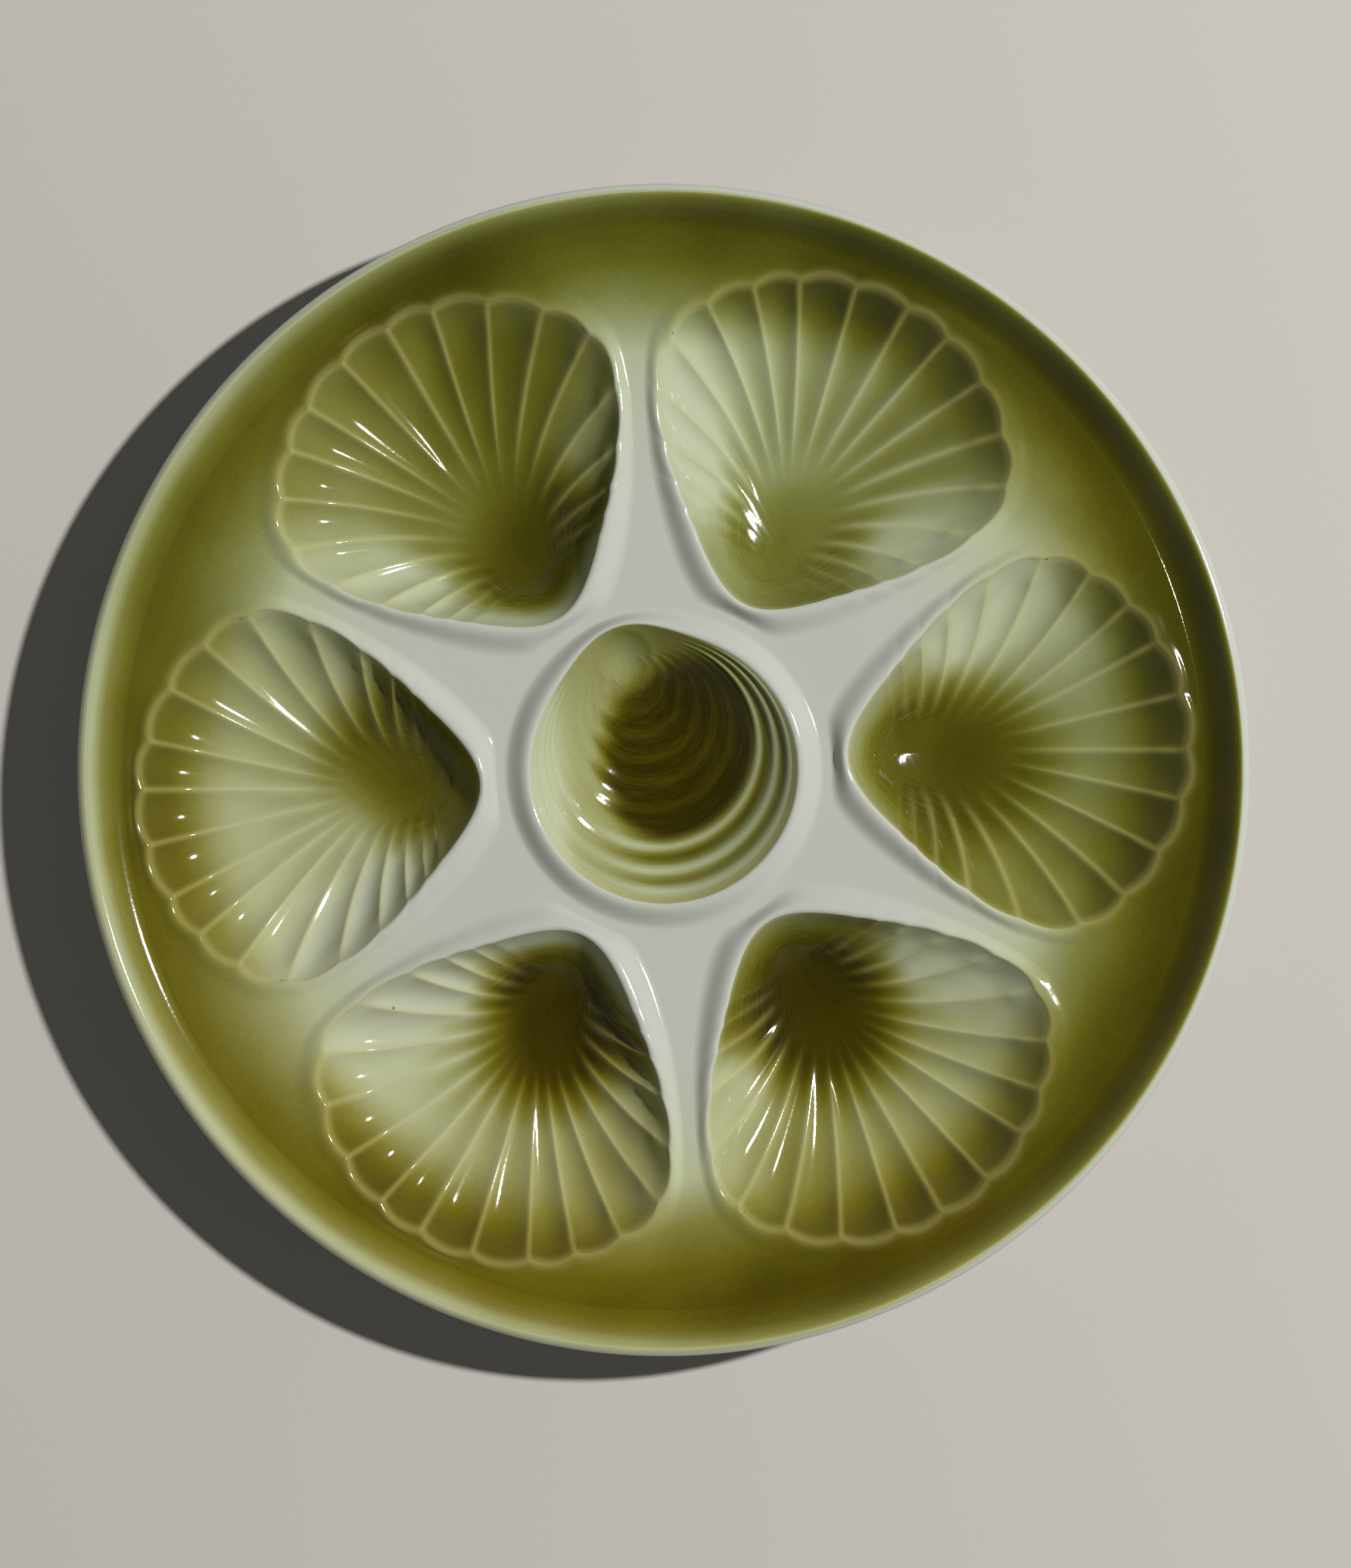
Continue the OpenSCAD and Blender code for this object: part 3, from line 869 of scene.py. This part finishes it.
# Centre well glaze: the coat in the clam-shaped sauce well. It stands deep and brown in the pool, lies thin
# on the ridges of the growth bands, and was sprayed lightly on the left.
clam_rows = 90
clam_pool_x = 7
clam_pool_y = 1
upper_stretch = 0.9
pool_fade = (16.3, 22.5)
pool_wave = 0.9
pool_wave_turns = 55
pool_wave_grow = (0.1, 0.3)
pool_end = (0.71, 0.79)
left_wall = (-18, -2)
far_left = (-17, -25)
wall_depth = 0.60
left_depth = 0.46
far_left_thin = 0.18
ridge_thin = 0.32
left_ridge_thin = 0.06
fine_line_w = 0.02
fine_line_thin = 0.07
lower_gather = 0.82
upper_gather = 0.91
gather_w = 0.025
gather_depth = 0.18
upper_gather_share = 0.6
dent_depth = 0.46
dent_spread = 6
clam_edge_start = 0.97
clam_edge_thin = 0.1
clam_line_start = 0.985
clam_line_share = 0.35


def clam_traits(column, share, points):
    """Depth of the centre well's glaze, where it is thin, and each point's place along and round the wall."""
    way = crowded(share)
    x, y = points[:, 0], points[:, 1]
    angle = round_angle(column)
    wide = ramp(*short_walls, wall_length(angle))
    ridges = wide * sum(bell(way, middle, bold_band_w) for middle in bold_bands)
    lines = wide * sum(bell(way, middle, fine_line_w) for middle in fine_bands)
    off = np.hypot(x - clam_pool_x, (y - clam_pool_y) * np.where(y > clam_pool_y, upper_stretch, 1))
    off = off + pool_wave * np.sin(pool_wave_turns * way) * ramp(*pool_wave_grow, way)
    inside = (1 - ramp(*pool_fade, off)) * (1 - ramp(*pool_end, way))
    left = 1 - ramp(*left_wall, x)
    gathers = bell(way, lower_gather, gather_w) + upper_gather_share * bell(way, upper_gather, gather_w)
    right_wall = wall_depth + gather_depth * (wide * gathers) - ridge_thin * ridges
    pale_wall = left_depth - far_left_thin * ramp(*far_left, x) - left_ridge_thin * ridges
    wall = right_wall * (1 - left) + pale_wall * left
    pool = inside * (1 - fine_line_thin * lines) + (1 - inside) * wall
    dent = bell(np.hypot(x - dent_x, y - dent_y), 0, dent_spread)
    pool = pool * (1 - dent) + dent * dent_depth
    return {"depth": pool - clam_edge_thin * ramp(clam_edge_start, 1, way),
            "thin": clam_line_share * ramp(clam_line_start, 1, way),
            "way": way, "turn_x": cosine(angle), "turn_y": sine(angle)}


stroke_rings = 45
stroke_scale = 2.2
stroke_depth = 0.5


def brushed(tree, depth, share):
    """Depth of glaze with strokes that follow the bands or the pool, as strong as share."""
    ring = math_node(tree, "MULTIPLY", trait_value(tree, "way"), stroke_rings)
    ring_place = add_node(tree, "CombineXYZ", {0: trait_value(tree, "turn_x"), 1: trait_value(tree, "turn_y"),
                                               2: ring}).outputs[0]
    strokes = about_zero(tree, noise(tree, ring_place, stroke_scale, 3))
    strokes = math_node(tree, "MULTIPLY", strokes, stroke_depth)
    return math_node(tree, "MULTIPLY_ADD", strokes, math_node(tree, "MULTIPLY", depth, share), depth)


centre_glaze = joined("centre_green_coat", [
    shaped_sheet("clam_top", round_columns, clam_rows,
                 lambda column, share: clam_point(column, crowded(share), 0), clam_traits),
    shaped_sheet("clam_back", round_columns, cavity_rows,
                 lambda column, share: clam_point(column, crowded(share), coat_t), clam_traits)])

clam_strokes = 0.5
centre_finish, tree, shader, place = new_finish("centre_green_glaze")
depth = brushed(tree, trait_value(tree, "depth"), clam_strokes)
fire(tree, shader, place, depth, trait_value(tree, "thin"))
centre_glaze.data.materials.append(centre_finish)
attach(centre_glaze, "root")
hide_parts("centre_well_glaze")

# Shell well glazes: six coats of the same green, each sprayed into its scallop-shell well. The glaze pools at
# the hinge, is pale over the middle of the flutes, dark again where the rim's spray reaches, and cream on
# the ribs.
shell_rows = 76
rib_line_w = 0.45
rib_line_grow = (0.28, 0.6)
edge_line_w = 0.8
furrow_grow = (0.15, 0.3)
furrow_fade = (0.35, 0.65)
star_angles = (40, 72)
star_grow = (0.35, 0.7)
hollow_least = 0.6
hollow_grow = (0.22, 0.45)
hollow_fade = (0.72, 0.92)
rim_spray_r = (85, 104)
hinge_strokes = (50, 63)
hinge_strokes_grow = (0.1, 0.4)
# Tip of a shell, painted paler: a thinner coat there, plus painted light on the tip wall.
tip_thin_and_light_x = (44, 56)
wall_grow = (0.5, 0.95)


def shell_traits(column, share, points):
    """Where the glaze of a shell pools, runs to the flutes' ends, is brushed, and lies thin."""
    way = crowded(share)
    x, y = points[:, 0], points[:, 1]
    across = shell_across[column]
    fluted = on_fan[column] * rib_share[column]
    furrow = on_fan[column] * across * ramp(*furrow_grow, way) * (1 - ramp(*furrow_fade, way))
    spacing = shell_edge[column] * way * math.radians(2 * fan_angle / flute_count)
    beside_rib = (1 - np.sqrt(1 - np.clip(rib_off[column], 0, 1))) / 2 * spacing
    ribs = fluted * bell(beside_rib, 0, rib_line_w) * ramp(*rib_line_grow, way)
    edge = bell(shell_edge[column] * (1 - way), 0, edge_line_w)
    star_side = ramp(*star_angles, shell_turn[column]) * ramp(*star_grow, way)
    # Darker in the middle of each flute and paler beside the ribs: glaze gathers in the hollows, with painted
    # shade across the flutes on top.
    hollow = fluted * (across - hollow_least) * ramp(*hollow_grow, way) * (1 - ramp(*hollow_fade, way))
    on_wall = ramp(*wall_grow, way)
    return {"along": x, "aside": y, "furrow": furrow, "hollow": hollow, "star_side": star_side,
            "end": ramp(*rim_spray_r, np.hypot(x, y)) * on_wall, "ribs": ribs, "edge": edge,
            "hinge": (1 - ramp(*hinge_strokes, x)) * ramp(*hinge_strokes_grow, way),
            "tip": (1 - ramp(*tip_thin_and_light_x, x)) * on_wall, "way": way,
            "turn_x": cosine(shell_phi[column]), "turn_y": sine(shell_phi[column])}


first_coat = joined("shell_green_coat_1", [
    shaped_sheet("shell_top", shell_columns, shell_rows,
                 lambda column, share: shell_point(column, crowded(share), 0), shell_traits),
    shaped_sheet("shell_back", shell_columns, cavity_rows,
                 lambda column, share: shell_point(column, crowded(crowded(share)), coat_t), shell_traits)])

rib_cream = 0.32
edge_cream = 0.24
shell_finish, tree, shader, place = new_finish("shell_green_glaze")
depth = brushed(tree, trait_value(tree, "depth"), trait_value(tree, "hinge"))
rib_line = math_node(tree, "MULTIPLY", trait_value(tree, "ribs"), rib_cream)
edge_line = math_node(tree, "MULTIPLY", trait_value(tree, "edge"), edge_cream)
fire(tree, shader, place, depth, math_node(tree, "MAXIMUM", rib_line, edge_line))
first_coat.data.materials.append(shell_finish)
shell_coats = [first_coat]
for well in range(1, well_count):
    shell_coats.append(turned_copy(first_coat, f"shell_green_coat_{well + 1}", well_turn * well))

# No two coats are sprayed alike: these tell, well by well, how deep the glaze lies in the pool, on the fan
# and at the flutes' ends, where the pool lies, how thin the coat is on the two sides, how dark the flutes'
# hollows are (glaze and painted shade) and how pale the tip is (a thinner coat and painted light).
pool_depths = [0.77, 0.65, 0.84, 0.78, 0.98, 0.96]
pool_middles = [62, 55, 53, 54, 59, 61]
pool_sides = [-4, -5, -5, -7, 4, -1.5]
pool_edges = [23, 18, 20, 21, 20.5, 21]
fan_depths = [0.50, 0.47, 0.66, 0.35, 0.40, 0.46]
side_leans = [-0.12, -0.10, -0.11, -0.05, 0.12, -0.08]
low_thins = [0.05, 0.45, 0.35, 0.1, 0.45, 0.4]
high_thins = [0.4, 0.45, 0.5, 0.5, 0.15, 0.45]
end_depths = [0.80, 0.82, 0.64, 0.71, 0.80, 0.77]
# Glaze and painted shade together: how much darker each well's flute hollows are.
hollow_glaze_and_shade_shares = [0.08, 0.26, 0.04, 0.06, 0.15, 0.1]
# A thinner coat plus painted light: how much paler each well's tip is, most where its tip wall lies in shade.
tip_thin_and_light = [0.3, -0.1, 0.62, 0, 0.73, 0.2]
side_w = 22
side_change = (-0.3, 0.3)
pool_front = (48, 66)
back_stretch = (0.6, 0.62)
front_squeeze = (0.3, 0.38)
pool_fade_w = 16
furrow_share = 0.18
rib_thin = 0.1
edge_thin = 0.15
for well, coat in enumerate(shell_coats, start=1):
    row = well - 1
    layer = {}
    for trait in ("along", "aside", "furrow", "hollow", "star_side", "end", "ribs", "edge", "tip"):
        layer[trait] = np.empty(len(coat.data.vertices))
        coat.data.attributes[trait].data.foreach_get("value", layer[trait])
    side = np.clip(layer["aside"] / side_w, -1, 1)
    side_thin = low_thins[row] + (high_thins[row] - low_thins[row]) * ramp(*side_change, side)
    depth = (fan_depths[row] + side_leans[row] * side) * (1 - side_thin * layer["star_side"])
    forward = ramp(*pool_front, layer["along"])
    pool_along = (back_stretch[0] + front_squeeze[0] * forward) * (layer["along"] - pool_middles[row])
    pool_aside = (back_stretch[1] + front_squeeze[1] * forward) * (layer["aside"] - pool_sides[row])
    pool_off = np.hypot(pool_along, pool_aside)
    pool = 1 - ramp(pool_edges[row] - pool_fade_w, pool_edges[row], pool_off)
    pool = np.clip(pool + furrow_share * layer["furrow"], 0, 1)
    depth = depth + (pool_depths[row] - depth) * pool
    depth = depth + (end_depths[row] - depth) * layer["end"]
    relief = 1 + hollow_glaze_and_shade_shares[row] * layer["hollow"] - rib_thin * layer["ribs"] - edge_thin * layer["edge"]
    depth = depth * (relief - tip_thin_and_light[row] * layer["tip"])
    coat.data.attributes.new("depth", "FLOAT", "POINT").data.foreach_set("value", depth)
    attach(coat, "root")
    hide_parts(f"well_glaze_{well}")

# Studio: a plain pale floor, one lamp high on the right and even light all round.
floor_w = 6
floor_shade = paint(182, 178, 170)
floor_roughness = 0.9
bpy.ops.object.select_all(action="DESELECT")
bpy.ops.mesh.primitive_plane_add(size=floor_w)
floor = bpy.context.object
floor.name = "floor"
floor_finish = bpy.data.materials.new("pale_floor")
floor_finish.use_nodes = True
floor_shader = floor_finish.node_tree.nodes["Principled BSDF"]
floor_shader.inputs["Base Color"].default_value = floor_shade
floor_shader.inputs["Roughness"].default_value = floor_roughness
floor.data.materials.append(floor_finish)

lamp_away = 2.5
lamp_azimuth = 16
lamp_height = 53
lamp_w = 0.11
lamp_power = 76
lamp_turn = Matrix.Rotation(math.radians(lamp_azimuth), 4, "Z")
lamp_tilt = Matrix.Rotation(math.radians(90 - lamp_height), 4, "Y")
bpy.ops.object.light_add(type="AREA")
lamp = bpy.context.object
lamp.data.shape = "DISK"
lamp.data.size = lamp_w
lamp.data.energy = lamp_power
lamp.matrix_world = lamp_turn @ lamp_tilt @ Matrix.Translation((0, 0, lamp_away))

sky_shades = [(0.0, grey(0.3)), (0.35, grey(0.25)), (0.7, grey(0.09)), (1.0, grey(0.05))]
world = bpy.data.worlds.new("even_light")
world.use_nodes = True
sky = world.node_tree
upward = add_node(sky, "SeparateXYZ", {0: add_node(sky, "TexCoord").outputs["Generated"]}).outputs[2]
sky.links.new(stops(sky, upward, sky_shades), sky.nodes["Background"].inputs["Color"])
bpy.context.scene.world = world

# Camera: straight above, turned a little, with the plate slightly left of and above the middle of the frame.
camera_z = 1.1
frame_h = 0.3204
camera_turn = -4
plate_offset = (2.4 * MM, -2.9 * MM)
bpy.ops.object.camera_add()
camera = bpy.context.object
turn = Matrix.Rotation(math.radians(camera_turn), 4, "Z")
camera.matrix_world = turn @ Matrix.Translation((plate_offset[0], plate_offset[1], camera_z))
camera.data.sensor_fit = "VERTICAL"
camera.data.angle = 2 * math.atan(frame_h / 2 / (camera_z - lip_z * MM))
bpy.context.scene.camera = camera
bpy.context.scene.view_settings.view_transform = "Standard"
